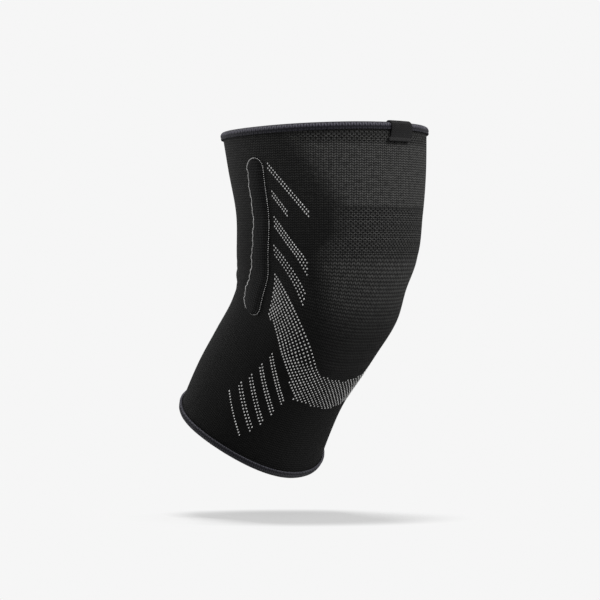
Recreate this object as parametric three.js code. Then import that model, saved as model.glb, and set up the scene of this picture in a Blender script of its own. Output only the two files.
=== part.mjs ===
// Knee sleeve: a knitted tube shaped to a slightly bent knee, bound at both rims, with a padded
// stay channel down each side of the knee and a folded label over the front of the top binding.
// Millimetres. +Z runs up the thigh, the kneecap faces -Y and the outer side of the leg faces -X.
// The origin is the knee's middle, where the lines of the thigh and the calf meet.

import * as THREE from 'three';

// Driving dimensions of the leg inside the sleeve
const KNEE_BEND = THREE.MathUtils.degToRad(37);
const BEND_RADIUS = 90;
const THIGH_LENGTH = 119;
const CALF_LENGTH = 123.5;
const THIGH_DEPTH = 146;
const THIGH_WIDTH = 140;
const KNEE_DEPTH = 118;
const KNEE_WIDTH = 106;
const CALF_DEPTH = 111;
const CALF_WIDTH = 111;

// Driving dimensions of the pieces
const KNIT_WALL = 2;
const CLEARANCE = 0.3;
const HEM_WALL = 1.3;
const TOP_HEM_HEIGHT = 5.2;
const BOTTOM_HEM_HEIGHT = 5;
const CHANNEL_LENGTH = 120;
const CHANNEL_TOP_WIDTH = 14.5;
const CHANNEL_BOTTOM_WIDTH = 18.5;
const CHANNEL_EDGE = 0.7;
const CHANNEL_CROWN = 2;
const CHANNEL_DROP = 22;
const LABEL_WIDTH = 21;
const LABEL_FRONT_LENGTH = 13.5;
const LABEL_BACK_LENGTH = 9;
const LABEL_THICKNESS = 0.9;

// Each rim waves round the leg: its front stands above its back, and the rest rounds the corners.
const TOP_RIM_WAVE = { tilt: -2.3, oval: -0.3, lobe: 0 };
const BOTTOM_RIM_WAVE = { tilt: -4.8, oval: 0.65, lobe: 1.1 };
// Shares of the sleeve's length over which each rim's wave dies away
const TOP_WAVE_REACH = 0.45;
const BOTTOM_WAVE_REACH = 0.4;
const WAVE_FADE = 1.5;

// Where round the leg the trims sit, from the front, positive towards +X
const CHANNEL_TOP_TURN = THREE.MathUtils.degToRad(96);
const CHANNEL_BOTTOM_TURN = THREE.MathUtils.degToRad(109);
// Shares of the channel's length between which it swings back and widens
const CHANNEL_SWING = { start: 0.3, end: 0.95 };
const LABEL_TURN = THREE.MathUtils.degToRad(-3.5);

// Mesh steps
const ROUND_STEPS = 56;
const THIGH_STEPS = 13;
const CALF_STEPS = 14;
const HEM_ARC_STEPS = 2;
const CHANNEL_STEPS = 16;
const CHANNEL_CROSS_STEPS = 6;
const CHANNEL_END_STEPS = 5;
const LABEL_CROSS_STEPS = 3;

const SLEEVE_LENGTH = THIGH_LENGTH + CALF_LENGTH;
const PROBE = 0.2;

// The sizes that a section's shares refer to
const ZONES = {
  thigh: { depth: THIGH_DEPTH, width: THIGH_WIDTH },
  knee: { depth: KNEE_DEPTH, width: KNEE_WIDTH },
  calf: { depth: CALF_DEPTH, width: CALF_WIDTH },
};

// Sections down the leg. along is a share of the thigh's length above the knee's middle, or of the
// calf's length below it. front and back are shares of the zone's depth, side of its width, and
// square is the exponent of the section's curve, where 2 is a plain oval.
const SECTIONS = [
  { zone: 'thigh', along: 1.0, front: 0.483, back: 0.524, side: 0.503, square: 2.1 },
  { zone: 'thigh', along: 0.756, front: 0.491, back: 0.481, side: 0.483, square: 2.1 },
  { zone: 'thigh', along: 0.492, front: 0.485, back: 0.435, side: 0.446, square: 2.15 },
  { zone: 'knee', along: 0.227, front: 0.548, back: 0.539, side: 0.551, square: 2.3 },
  { zone: 'knee', along: 0.11, front: 0.482, back: 0.55, side: 0.518, square: 2.36 },
  { zone: 'knee', along: -0.01, front: 0.462, back: 0.547, side: 0.505, square: 2.4 },
  { zone: 'knee', along: -0.174, front: 0.416, back: 0.533, side: 0.475, square: 2.35 },
  { zone: 'knee', along: -0.332, front: 0.41, back: 0.505, side: 0.464, square: 2.3 },
  { zone: 'calf', along: -0.528, front: 0.428, back: 0.534, side: 0.457, square: 2.2 },
  { zone: 'calf', along: -0.764, front: 0.459, back: 0.521, side: 0.481, square: 2.15 },
  { zone: 'calf', along: -1.0, front: 0.521, back: 0.477, side: 0.499, square: 2.1 },
];

// Distance down the leg from the top rim, and the section's real sizes there
const stations = SECTIONS.map((row) => {
  const reach = row.along > 0 ? THIGH_LENGTH : CALF_LENGTH;
  return {
    down: THIGH_LENGTH - row.along * reach,
    front: row.front * ZONES[row.zone].depth,
    back: row.back * ZONES[row.zone].depth,
    side: row.side * ZONES[row.zone].width,
    square: row.square,
  };
});

// Slopes of one column of the stations, for a smooth curve through them
function slopesOf(column) {
  const chords = stations.slice(1).map((next, i) => {
    const step = next.down - stations[i].down;
    return { step, slope: (next[column] - stations[i][column]) / step };
  });
  const inner = chords.slice(1).map((below, i) => {
    const above = chords[i];
    return (above.step * below.slope + below.step * above.slope) / (above.step + below.step);
  });
  const first = 2 * chords[0].slope - inner[0];
  const last = 2 * chords.at(-1).slope - inner.at(-1);
  return [first, ...inner, last];
}

const slopes = {};
for (const column of ['front', 'back', 'side', 'square']) {
  slopes[column] = slopesOf(column);
}

// A section's size at any distance down the leg, carried on straight past the rims
function sizeAt(column, down) {
  let i = 0;
  while (i < stations.length - 2 && down > stations[i + 1].down) {
    i += 1;
  }
  const [start, end] = [stations[i], stations[i + 1]];
  const step = end.down - start.down;
  const share = (down - start.down) / step;
  const inside = THREE.MathUtils.clamp(share, 0, 1);
  const past = (share - inside) * step * slopes[column][share > 1 ? i + 1 : i];
  const square = inside * inside;
  const cube = square * inside;
  return (
    (2 * cube - 3 * square + 1) * start[column] +
    (cube - 2 * square + inside) * step * slopes[column][i] +
    (3 * square - 2 * cube) * end[column] +
    (cube - square) * step * slopes[column][i + 1] +
    past
  );
}

// The leg's line: straight down the thigh, round the knee on an arc, then straight down the calf
function legLine(down) {
  const arc = BEND_RADIUS * KNEE_BEND;
  const arcStart = THIGH_LENGTH - arc / 2;
  const corner = BEND_RADIUS * Math.tan(KNEE_BEND / 2);
  const turn = THREE.MathUtils.clamp((down - arcStart) / arc, 0, 1) * KNEE_BEND;
  const above = Math.max(arcStart - down, 0);
  const below = Math.max(down - arcStart - arc, 0);
  return {
    turn,
    y: BEND_RADIUS * (1 - Math.cos(turn)) + below * Math.sin(turn),
    z: corner + above - BEND_RADIUS * Math.sin(turn) - below * Math.cos(turn),
  };
}

// A point of the knit's outer face, by its angle round the leg and its distance down the leg
function facePoint(angle, down) {
  const line = legLine(down);
  const across = Math.sin(angle);
  const ahead = Math.cos(angle);
  const depth = sizeAt(ahead > 0 ? 'front' : 'back', down);
  const width = sizeAt('side', down);
  const square = sizeAt('square', down);
  const reach = (Math.abs(across / width) ** square + Math.abs(ahead / depth) ** square) ** (-1 / square);
  return new THREE.Vector3(
    reach * across,
    line.y - reach * ahead * Math.cos(line.turn),
    line.z - reach * ahead * Math.sin(line.turn),
  );
}

// The same point moved out along the face's normal
function sleevePoint(angle, down, out) {
  const point = facePoint(angle, down);
  const probeAngle = PROBE / KNEE_WIDTH;
  const round = facePoint(angle + probeAngle, down).sub(facePoint(angle - probeAngle, down));
  const along = facePoint(angle, down + PROBE).sub(facePoint(angle, down - PROBE));
  const normal = along.cross(round).normalize();
  return point.addScaledVector(normal, out);
}

function wave({ tilt, oval, lobe }, angle) {
  return tilt * Math.cos(angle) + oval * Math.cos(2 * angle) + lobe * Math.cos(3 * angle);
}

// Distance down the leg of the row that lies at a share of the sleeve's length, at one angle
function rowAt(share, angle) {
  const topWeight = Math.max(1 - share / TOP_WAVE_REACH, 0) ** WAVE_FADE;
  const bottomWeight = Math.max(1 - (1 - share) / BOTTOM_WAVE_REACH, 0) ** WAVE_FADE;
  return (
    share * SLEEVE_LENGTH +
    topWeight * wave(TOP_RIM_WAVE, angle) +
    bottomWeight * wave(BOTTOM_RIM_WAVE, angle)
  );
}

// A point near a rim: inward is the distance from the rim's crown towards the knee
function rimPoint(rimShare, angle, inward, out) {
  const down = rowAt(rimShare, angle) + (rimShare === 0 ? inward : -inward);
  return sleevePoint(angle, down, out);
}

// A closed skin through loops of equal point counts. It joins the last loop to the first, or
// closes each end with rungs across the loop, whose second half runs back beside its first.
function skin(loops, joined) {
  const count = loops[0].length;
  const points = loops.flat();
  const faces = [];
  const spans = joined ? loops.length : loops.length - 1;
  for (let i = 0; i < spans; i += 1) {
    const here = i * count;
    const next = ((i + 1) % loops.length) * count;
    for (let j = 0; j < count; j += 1) {
      const k = (j + 1) % count;
      faces.push(here + j, here + k, next + k);
      faces.push(here + j, next + k, next + j);
    }
  }
  if (!joined) {
    for (const start of [0, points.length - count]) {
      for (let j = 0; j < count / 2 - 1; j += 1) {
        const [near, next] = [start + j, start + j + 1];
        const [far, back] = [start + count - 2 - j, start + count - 1 - j];
        faces.push(...(start === 0 ? [next, near, far] : [near, next, far]));
        faces.push(...(start === 0 ? [far, near, back] : [near, far, back]));
      }
    }
  }
  const geometry = new THREE.BufferGeometry().setFromPoints(points);
  geometry.setIndex(enclosedVolume(points, faces) < 0 ? faces.reverse() : faces);
  geometry.computeVertexNormals();
  return geometry;
}

// Volume inside the faces, negative where they face inwards
function enclosedVolume(points, faces) {
  let volume = 0;
  const cross = new THREE.Vector3();
  for (let i = 0; i < faces.length; i += 3) {
    cross.crossVectors(points[faces[i]], points[faces[i + 1]]);
    volume += cross.dot(points[faces[i + 2]]) / 6;
  }
  return volume;
}

const ringAngles = Array.from({ length: ROUND_STEPS }, (_, i) => (i / ROUND_STEPS) * 2 * Math.PI);

// How far the binding stands beyond the knit's cut edge
const RIM_COVER = KNIT_WALL / 2 + CLEARANCE + HEM_WALL;

// The knitted tube: its outer face from rim to rim, and its inner face back up
function knitSleeve() {
  const topEdge = RIM_COVER / SLEEVE_LENGTH;
  const middle = THIGH_LENGTH / SLEEVE_LENGTH;
  const bottomEdge = 1 - topEdge;
  const shares = [];
  for (let i = 0; i < THIGH_STEPS; i += 1) {
    shares.push(topEdge + (middle - topEdge) * (i / THIGH_STEPS));
  }
  for (let i = 0; i <= CALF_STEPS; i += 1) {
    shares.push(middle + (bottomEdge - middle) * (i / CALF_STEPS));
  }
  const loops = ringAngles.map((angle) => {
    const outer = shares.map((share) => sleevePoint(angle, rowAt(share, angle), 0));
    const inner = shares.map((share) => sleevePoint(angle, rowAt(share, angle), -KNIT_WALL));
    return [...outer, ...inner.reverse()];
  });
  return skin(loops, true);
}

// A strip folded over a rim, as points of inward and out, with its legs on both faces of the knit.
// gap is the strip's distance from the knit's middle, and lean brings its outer end to the knit.
function foldedStrip({ gap, thickness, outerEnd, innerEnd, bend = outerEnd, lean = 0 }) {
  const centre = RIM_COVER;
  const outerFace = [];
  const innerFace = [];
  const add = (inward, out) => {
    const spread = gap + thickness;
    outerFace.push([inward, spread + out]);
    innerFace.push([inward, gap + out]);
  };
  add(outerEnd, -lean);
  if (bend !== outerEnd) {
    add(bend, 0);
  }
  for (let i = 0; i <= 2 * HEM_ARC_STEPS; i += 1) {
    const turn = (i / (2 * HEM_ARC_STEPS)) * Math.PI;
    outerFace.push([centre - (gap + thickness) * Math.sin(turn), (gap + thickness) * Math.cos(turn)]);
    innerFace.push([centre - gap * Math.sin(turn), gap * Math.cos(turn)]);
  }
  outerFace.push([innerEnd, -(gap + thickness)]);
  innerFace.push([innerEnd, -gap]);
  return { outerFace, innerFace };
}

// A rim's binding, folded over the knit's cut edge all the way round
function hem(rimShare, height) {
  const { outerFace, innerFace } = foldedStrip({
    gap: KNIT_WALL / 2 + CLEARANCE,
    thickness: HEM_WALL,
    outerEnd: height,
    innerEnd: height,
  });
  const profile = [...outerFace, ...innerFace.reverse()];
  const loops = ringAngles.map((angle) =>
    profile.map(([inward, out]) => rimPoint(rimShare, angle, inward, out - KNIT_WALL / 2)),
  );
  return skin(loops, true);
}

// The woven label, folded over the top binding at the front
function hemLabel() {
  const gap = KNIT_WALL / 2 + CLEARANCE + HEM_WALL + CLEARANCE;
  const { outerFace, innerFace } = foldedStrip({
    gap,
    thickness: LABEL_THICKNESS,
    outerEnd: LABEL_FRONT_LENGTH,
    innerEnd: LABEL_BACK_LENGTH,
    bend: TOP_HEM_HEIGHT + CLEARANCE,
    lean: HEM_WALL,
  });
  const halfTurn = LABEL_WIDTH / THIGH_DEPTH;
  const turns = [];
  for (let i = 0; i <= LABEL_CROSS_STEPS; i += 1) {
    turns.push(LABEL_TURN + halfTurn * ((2 * i) / LABEL_CROSS_STEPS - 1));
  }
  const profile = [...outerFace, ...innerFace.reverse()];
  const loops = turns.map((angle) =>
    profile.map(([inward, out]) => rimPoint(0, angle, inward, out - KNIT_WALL / 2)),
  );
  return skin(loops, false);
}

// A stay channel: a long round-ended pad that lies on the knit, crowned across. It runs straight
// down the thigh, then swings back and widens beside the knee.
function stayChannel(side) {
  const swingAt = (share) => THREE.MathUtils.smoothstep(share, CHANNEL_SWING.start, CHANNEL_SWING.end);
  const halfAt = (share) => THREE.MathUtils.lerp(CHANNEL_TOP_WIDTH, CHANNEL_BOTTOM_WIDTH, swingAt(share)) / 2;
  const rows = [];
  const topHalf = halfAt(0);
  const bottomHalf = halfAt(1);
  for (let i = 0; i < CHANNEL_END_STEPS; i += 1) {
    const turn = ((i + 0.5) / CHANNEL_END_STEPS) * (Math.PI / 2);
    rows.push({ drop: topHalf * (1 - Math.cos(turn)), round: Math.sin(turn) });
  }
  const straight = CHANNEL_LENGTH - topHalf - bottomHalf;
  for (let i = 0; i <= CHANNEL_STEPS; i += 1) {
    rows.push({ drop: topHalf + (straight * i) / CHANNEL_STEPS, round: 1 });
  }
  for (let i = CHANNEL_END_STEPS - 1; i >= 0; i -= 1) {
    const turn = ((i + 0.5) / CHANNEL_END_STEPS) * (Math.PI / 2);
    rows.push({ drop: CHANNEL_LENGTH - bottomHalf * (1 - Math.cos(turn)), round: Math.sin(turn) });
  }
  const probe = PROBE / KNEE_WIDTH;
  const loops = rows.map(({ drop, round }) => {
    const down = CHANNEL_DROP + drop;
    const share = drop / CHANNEL_LENGTH;
    const middle = THREE.MathUtils.lerp(CHANNEL_TOP_TURN, CHANNEL_BOTTOM_TURN, swingAt(share));
    const speed = facePoint(middle + probe, down).distanceTo(facePoint(middle - probe, down)) / (2 * probe);
    const halfTurn = (halfAt(share) * round) / speed;
    const crown = [];
    const base = [];
    for (let i = 0; i <= CHANNEL_CROSS_STEPS; i += 1) {
      const across = (2 * i) / CHANNEL_CROSS_STEPS - 1;
      const angle = side * (middle + across * halfTurn);
      const rise = CHANNEL_EDGE + CHANNEL_CROWN * round * (1 - across * across);
      crown.push(sleevePoint(angle, down, CLEARANCE + rise));
      base.push(sleevePoint(angle, down, CLEARANCE));
    }
    return [...crown, ...base.reverse()];
  });
  return skin(loops, false);
}

function piece(name, geometry, color, roughness) {
  const material = new THREE.MeshStandardMaterial({ color, roughness, metalness: 0 });
  const mesh = new THREE.Mesh(geometry, material);
  mesh.name = name;
  return mesh;
}

const KNIT_BLACK = 0x1c1c1e;
const BINDING_VIOLET = 0x3c3d4b;
const CHANNEL_BLACK = 0x18181a;
const LABEL_BLACK = 0x101012;

const sleeve = new THREE.Group();
sleeve.add(
  piece('knit_sleeve', knitSleeve(), KNIT_BLACK, 0.92),
  piece('top_hem', hem(0, TOP_HEM_HEIGHT), BINDING_VIOLET, 0.85),
  piece('bottom_hem', hem(1, BOTTOM_HEM_HEIGHT), BINDING_VIOLET, 0.85),
  piece('outer_stay_channel', stayChannel(-1), CHANNEL_BLACK, 0.9),
  piece('inner_stay_channel', stayChannel(1), CHANNEL_BLACK, 0.9),
  piece('hem_label', hemLabel(), LABEL_BLACK, 0.8),
);

export default sleeve;
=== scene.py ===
import math

import bpy
import numpy as np
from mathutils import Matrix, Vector


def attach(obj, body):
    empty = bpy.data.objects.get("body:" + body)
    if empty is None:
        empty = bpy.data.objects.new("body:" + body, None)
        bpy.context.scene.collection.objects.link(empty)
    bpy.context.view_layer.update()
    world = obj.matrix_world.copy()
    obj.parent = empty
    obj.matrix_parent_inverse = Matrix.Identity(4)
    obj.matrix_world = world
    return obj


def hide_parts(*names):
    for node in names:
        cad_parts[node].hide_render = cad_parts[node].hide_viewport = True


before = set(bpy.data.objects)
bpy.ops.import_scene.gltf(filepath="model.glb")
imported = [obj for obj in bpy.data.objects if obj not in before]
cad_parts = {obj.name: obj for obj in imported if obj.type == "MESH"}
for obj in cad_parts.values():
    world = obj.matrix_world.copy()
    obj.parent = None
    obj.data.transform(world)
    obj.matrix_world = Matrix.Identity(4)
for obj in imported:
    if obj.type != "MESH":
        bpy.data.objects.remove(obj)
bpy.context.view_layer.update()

MM = 0.001

# Camera: distances in metres, the sensor's width in millimetres, and the focal length as a share
# of that width. The aim lies a little left of the origin and below it
CAMERA_TURN = math.radians(-49)
CAMERA_RISE = math.radians(1)
CAMERA_DISTANCE = 1.5
FOCAL_SHARE = 2090 / 600
SENSOR = 36
AIM_LEFT = 0.0189
AIM_DOWN = 0.00148

# The leg's form, in millimetres. A zone is as deep and as wide as its pair says
KNEE_BEND = math.radians(37)
BEND_RADIUS = 90
THIGH_LENGTH = 119
CALF_LENGTH = 123.5
SLEEVE_LENGTH = THIGH_LENGTH + CALF_LENGTH
ZONES = {"thigh": (146, 140), "knee": (118, 106), "calf": (111, 111)}
KNIT_WALL = 2
CLEARANCE = 0.3
HEM_WALL = 1.3
TOP_HEM_HEIGHT = 5.2
BOTTOM_HEM_HEIGHT = 5
RIM_COVER = KNIT_WALL / 2 + CLEARANCE + HEM_WALL

# The rims' waves: tilt, oval and lobe, the share of the sleeve that each wave reaches, and how
# sharply it fades
TOP_WAVE = (-2.3, -0.3, 0)
BOTTOM_WAVE = (-4.8, 0.65, 1.1)
TOP_REACH = 0.45
BOTTOM_REACH = 0.4
RIM_FADE = 1.5

# Half a step along the knit's face for its slopes, and the leg's usual radius
PROBE = 0.2
USUAL_RADIUS = 53

# Sections down the leg: zone, share along it, then front, back and side as shares of the zone's
# depth and width, and the exponent of the section's curve
SECTIONS = [
    ("thigh", 1.0, 0.483, 0.524, 0.503, 2.1),
    ("thigh", 0.756, 0.491, 0.481, 0.483, 2.1),
    ("thigh", 0.492, 0.485, 0.435, 0.446, 2.15),
    ("knee", 0.227, 0.548, 0.539, 0.551, 2.3),
    ("knee", 0.11, 0.482, 0.55, 0.518, 2.36),
    ("knee", -0.01, 0.462, 0.547, 0.505, 2.4),
    ("knee", -0.174, 0.416, 0.533, 0.475, 2.35),
    ("knee", -0.332, 0.41, 0.505, 0.464, 2.3),
    ("calf", -0.528, 0.428, 0.534, 0.457, 2.2),
    ("calf", -0.764, 0.459, 0.521, 0.481, 2.15),
    ("calf", -1.0, 0.521, 0.477, 0.499, 2.1),
]


def station_rows():
    """The sections as distance down, front, back and side in millimetres, and exponent."""
    rows = []
    for zone, along, front, back, side, square in SECTIONS:
        depth, width = ZONES[zone]
        reach = THIGH_LENGTH if along > 0 else CALF_LENGTH
        down = THIGH_LENGTH - along * reach
        rows.append((down, front * depth, back * depth, side * width, square))
    return np.array(rows)


STATIONS = station_rows()


def smooth_slopes(x, y):
    """Slopes for a smooth curve through the stations."""
    step = np.diff(x)
    chord = np.diff(y) / step
    inner = (step[:-1] * chord[1:] + step[1:] * chord[:-1]) / (step[:-1] + step[1:])
    return np.concatenate([[2 * chord[0] - inner[0]], inner, [2 * chord[-1] - inner[-1]]])


SLOPES = [smooth_slopes(STATIONS[:, 0], STATIONS[:, k]) for k in range(1, 5)]


def size_at(column, down):
    """A section's size at any distance down the leg, carried on straight past the rims."""
    x, y, m = STATIONS[:, 0], STATIONS[:, column], SLOPES[column - 1]
    i = np.clip(np.searchsorted(x, down, side="right") - 1, 0, len(x) - 2)
    step = x[i + 1] - x[i]
    share = (down - x[i]) / step
    t = np.clip(share, 0, 1)
    past = (share - t) * step * np.where(share > 1, m[i + 1], m[i])
    return (
        (2 * t**3 - 3 * t**2 + 1) * y[i]
        + (t**3 - 2 * t**2 + t) * step * m[i]
        + (3 * t**2 - 2 * t**3) * y[i + 1]
        + (t**3 - t**2) * step * m[i + 1]
        + past
    )


def leg_line(down):
    """The leg's line: straight down the thigh, round the knee, then straight down the calf."""
    arc = BEND_RADIUS * KNEE_BEND
    start = THIGH_LENGTH - arc / 2
    corner = BEND_RADIUS * math.tan(KNEE_BEND / 2)
    turn = np.clip((down - start) / arc, 0, 1) * KNEE_BEND
    above = np.maximum(start - down, 0)
    below = np.maximum(down - start - arc, 0)
    y = BEND_RADIUS * (1 - np.cos(turn)) + below * np.sin(turn)
    z = corner + above - BEND_RADIUS * np.sin(turn) - below * np.cos(turn)
    return turn, y, z


def face_point(angle, down):
    """A point of the leg's plain form. The angle runs round from the front."""
    angle, down = np.broadcast_arrays(np.asarray(angle, float), np.asarray(down, float))
    turn, y, z = leg_line(down)
    across, ahead = np.sin(angle), np.cos(angle)
    depth = np.where(ahead > 0, size_at(1, down), size_at(2, down))
    width, square = size_at(3, down), size_at(4, down)
    reach = (np.abs(across / width) ** square + np.abs(ahead / depth) ** square) ** (-1 / square)
    forward = reach * ahead
    return np.stack([reach * across, y - forward * np.cos(turn), z - forward * np.sin(turn)], -1)


def face_normal(angle, down):
    turn = PROBE / USUAL_RADIUS
    round_leg = face_point(angle + turn, down) - face_point(angle - turn, down)
    along = face_point(angle, down + PROBE) - face_point(angle, down - PROBE)
    normal = np.cross(along, round_leg)
    return normal / np.linalg.norm(normal, axis=-1, keepdims=True)


def bump_at(angle, down, place):
    """A soft mound or dent of the knit: height times a bell of the angle and the distance."""
    turn, drop, wide, tall, lean, height = place
    away = np.degrees(angle) - turn
    away = (away + 180) % 360 - 180
    fall = down - drop - lean * away
    return height * np.exp(-((away / wide) ** 2) - ((fall / tall) ** 2))


# Slack places of the knit: angle and half width in degrees, the rest in millimetres. Each says
# angle, distance down, half width, half height, lean and height
SLACK = [
    (180, 112, 40, 4.2, 0.0, -0.7),
    (180, 122, 42, 4.6, 0.0, 0.3),
    (180, 133, 38, 4.4, 0.0, -0.6),
    (180, 98, 34, 4.0, 0.0, -0.3),
    (-124, 118, 12, 4.5, 0.25, -0.4),
    (124, 118, 12, 4.5, -0.25, -0.4),
    (-60, 172, 16, 6.0, 0.6, 0.25),
    (60, 172, 16, 6.0, -0.6, 0.25),
    (0, 152, 34, 5.0, 0.0, -0.35),
]

# Slow waves of the face: waves round the leg, radians for each millimetre down, start and height
SLOW_WAVES = [(3, 0.041, 0, 0.22), (5, -0.067, 1.3, 0.14)]
CALM_RIM = 25


def relief(angle, down):
    """How far the knit's face lies off the leg's plain form."""
    high = sum(bump_at(angle, down, place) for place in SLACK)
    slow = sum(np.sin(angle * n + down * k + start) * height for n, k, start, height in SLOW_WAVES)
    return high + slow * np.clip(np.minimum(down, SLEEVE_LENGTH - down) / CALM_RIM, 0, 1)


def rim_wave(parts, angle):
    """How far a rim's wave carries the knit down at an angle."""
    tilt, oval, lobe = parts
    return tilt * np.cos(angle) + oval * np.cos(2 * angle) + lobe * np.cos(3 * angle)


def row_at(share, angle):
    """The distance down of a row of knit, which waves near the rims."""
    top = np.maximum(1 - share / TOP_REACH, 0) ** RIM_FADE
    bottom = np.maximum(1 - (1 - share) / BOTTOM_REACH, 0) ** RIM_FADE
    waves = top * rim_wave(TOP_WAVE, angle) + bottom * rim_wave(BOTTOM_WAVE, angle)
    return share * SLEEVE_LENGTH + waves


def wave_sum(parts, at):
    """Waves added up, each with a height, a rate and a start."""
    return sum(height * np.sin(at * rate + start) for height, rate, start in parts)


def bell(value, height, middle, wide):
    return height * np.exp(-(((value - middle) / wide) ** 2))


def sleeve_point(angle, down, out):
    """A point that lies out off the knit's face."""
    lift = np.asarray(out + relief(angle, down))
    return face_point(angle, down) + face_normal(angle, down) * lift[..., None]


def add_object(name, data):
    thing = bpy.data.objects.new(name, data)
    bpy.context.scene.collection.objects.link(thing)
    return thing


def mesh_piece(name, points, faces, material, uvs=None, marks=None, wrap=None):
    """A mesh object from rows of points in millimetres. uvs and marks hold a value for each point.

    wrap is the cloth's length once round, for faces that join its end to its start.
    """
    data = bpy.data.meshes.new(name)
    data.from_pydata((np.reshape(points, (-1, 3)) * MM).tolist(), [], faces)
    data.update()
    if uvs is not None:
        layer = data.uv_layers.new(name="cloth")
        loops = np.zeros(len(data.loops), np.int32)
        data.loops.foreach_get("vertex_index", loops)
        flat = np.reshape(uvs, (-1, 2)).astype(np.float32)[loops]
        if wrap:
            first = np.zeros(len(data.polygons), np.int32)
            data.polygons.foreach_get("loop_start", first)
            widest = np.maximum.reduceat(flat[:, 0], first)
            widest = np.repeat(widest, np.diff(np.append(first, len(loops))))
            flat[:, 0] += wrap * (widest - flat[:, 0] > wrap / 2)
        layer.data.foreach_set("uv", flat.ravel())
    for label, values in (marks or {}).items():
        held = data.attributes.new(label, "FLOAT", "POINT")
        held.data.foreach_set("value", np.asarray(values, np.float32).ravel())
    data.polygons.foreach_set("use_smooth", [True] * len(data.polygons))
    data.materials.append(material)
    return add_object(name, data)


def grid_faces(rows, columns, joined_rows, joined_columns):
    """Quads between neighbouring points of a grid that is rows by columns."""
    i = np.arange(rows if joined_rows else rows - 1)
    j = np.arange(columns if joined_columns else columns - 1)
    i, j = np.meshgrid(i, j, indexing="ij")
    a = i * columns + j
    b = i * columns + (j + 1) % columns
    c = ((i + 1) % rows) * columns + (j + 1) % columns
    d = ((i + 1) % rows) * columns + j
    return np.stack([a, b, c, d], -1).reshape(-1, 4).tolist()


def end_faces(rows, columns):
    """Quads that close both ends of a grid whose rows go out and come back round one section."""
    faces = []
    for start in (0, (rows - 1) * columns):
        for j in range(columns // 2 - 1):
            far = start + columns - 1 - j
            quad = [start + j, start + j + 1, far - 1, far]
            faces.append(quad[::-1] if start == 0 else quad)
    return faces


def face_outward(piece):
    """Turns a closed mesh's faces outward where its enclosed volume is negative."""
    data = piece.data
    co = np.zeros(len(data.vertices) * 3)
    data.vertices.foreach_get("co", co)
    co = co.reshape(-1, 3)
    data.calc_loop_triangles()
    tri = np.zeros(len(data.loop_triangles) * 3, np.int32)
    data.loop_triangles.foreach_get("vertices", tri)
    a, b, c = (co[tri.reshape(-1, 3)[:, k]] for k in range(3))
    if (a * np.cross(b, c)).sum() < 0:
        data.flip_normals()
    return piece


# ---- Materials ----


def new_material(name):
    material = bpy.data.materials.new(name)
    material.use_nodes = True
    tree = material.node_tree
    return material, tree, tree.nodes["Principled BSDF"]


def set_finish(shader, roughness, specular, sheen=0.0):
    shader.inputs["Roughness"].default_value = roughness
    shader.inputs["Specular IOR Level"].default_value = specular
    shader.inputs["Sheen Weight"].default_value = sheen
    shader.inputs["Sheen Roughness"].default_value = 0.5


def feed(tree, socket, value):
    """Sets a number or a colour on a socket, or links another node's output to it."""
    if isinstance(value, (int, float)):
        socket.default_value = value
    elif isinstance(value, tuple):
        socket.default_value = (*value, 1)
    else:
        tree.links.new(value, socket)


def math_node(tree, kind, *values):
    node = tree.nodes.new("ShaderNodeMath")
    node.operation = kind
    for socket, value in zip(node.inputs, values):
        feed(tree, socket, value)
    return node.outputs[0]


def split_vector(tree, vector):
    """A vector's first and second numbers."""
    node = tree.nodes.new("ShaderNodeSeparateXYZ")
    tree.links.new(vector, node.inputs[0])
    return node.outputs[0], node.outputs[1]


def map_range(tree, value, first, last, low, high, kind="SMOOTHSTEP"):
    """Carries a value between first and last over to low and high."""
    node = tree.nodes.new("ShaderNodeMapRange")
    node.interpolation_type = kind
    tree.links.new(value, node.inputs["Value"])
    for label, end in (("From Min", first), ("From Max", last), ("To Min", low), ("To Max", high)):
        node.inputs[label].default_value = end
    return node.outputs["Result"]


def mix_colour(tree, share, low, high, kind="MIX"):
    node = tree.nodes.new("ShaderNodeMix")
    node.data_type = "RGBA"
    node.blend_type = kind
    feed(tree, node.inputs["Factor"], share)
    feed(tree, node.inputs[6], low)
    feed(tree, node.inputs[7], high)
    return node.outputs[2]


def noise(tree, vector, scale, detail):
    node = tree.nodes.new("ShaderNodeTexNoise")
    node.inputs["Scale"].default_value = scale
    node.inputs["Detail"].default_value = detail
    tree.links.new(vector, node.inputs["Vector"])
    return node.outputs["Fac"]


def attribute(tree, name):
    node = tree.nodes.new("ShaderNodeAttribute")
    node.attribute_name = name
    return node.outputs["Fac"]


def bump(tree, height, distance):
    node = tree.nodes.new("ShaderNodeBump")
    node.inputs["Distance"].default_value = distance
    tree.links.new(height, node.inputs["Height"])
    return node.outputs["Normal"]


def add_sockets(group, inputs, outputs):
    """Adds a node group's sockets, each a name and a kind."""
    for way, sockets in (("INPUT", inputs), ("OUTPUT", outputs)):
        for name, kind in sockets:
            group.interface.new_socket(name, in_out=way, socket_type="NodeSocket" + kind)


# A loop's height swings about a level, down the cloth and across it
COURSE_SWING, COURSE_LEVEL = 0.36, 0.46
WALE_SWING, WALE_LEVEL = 0.9, 0.25


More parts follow.
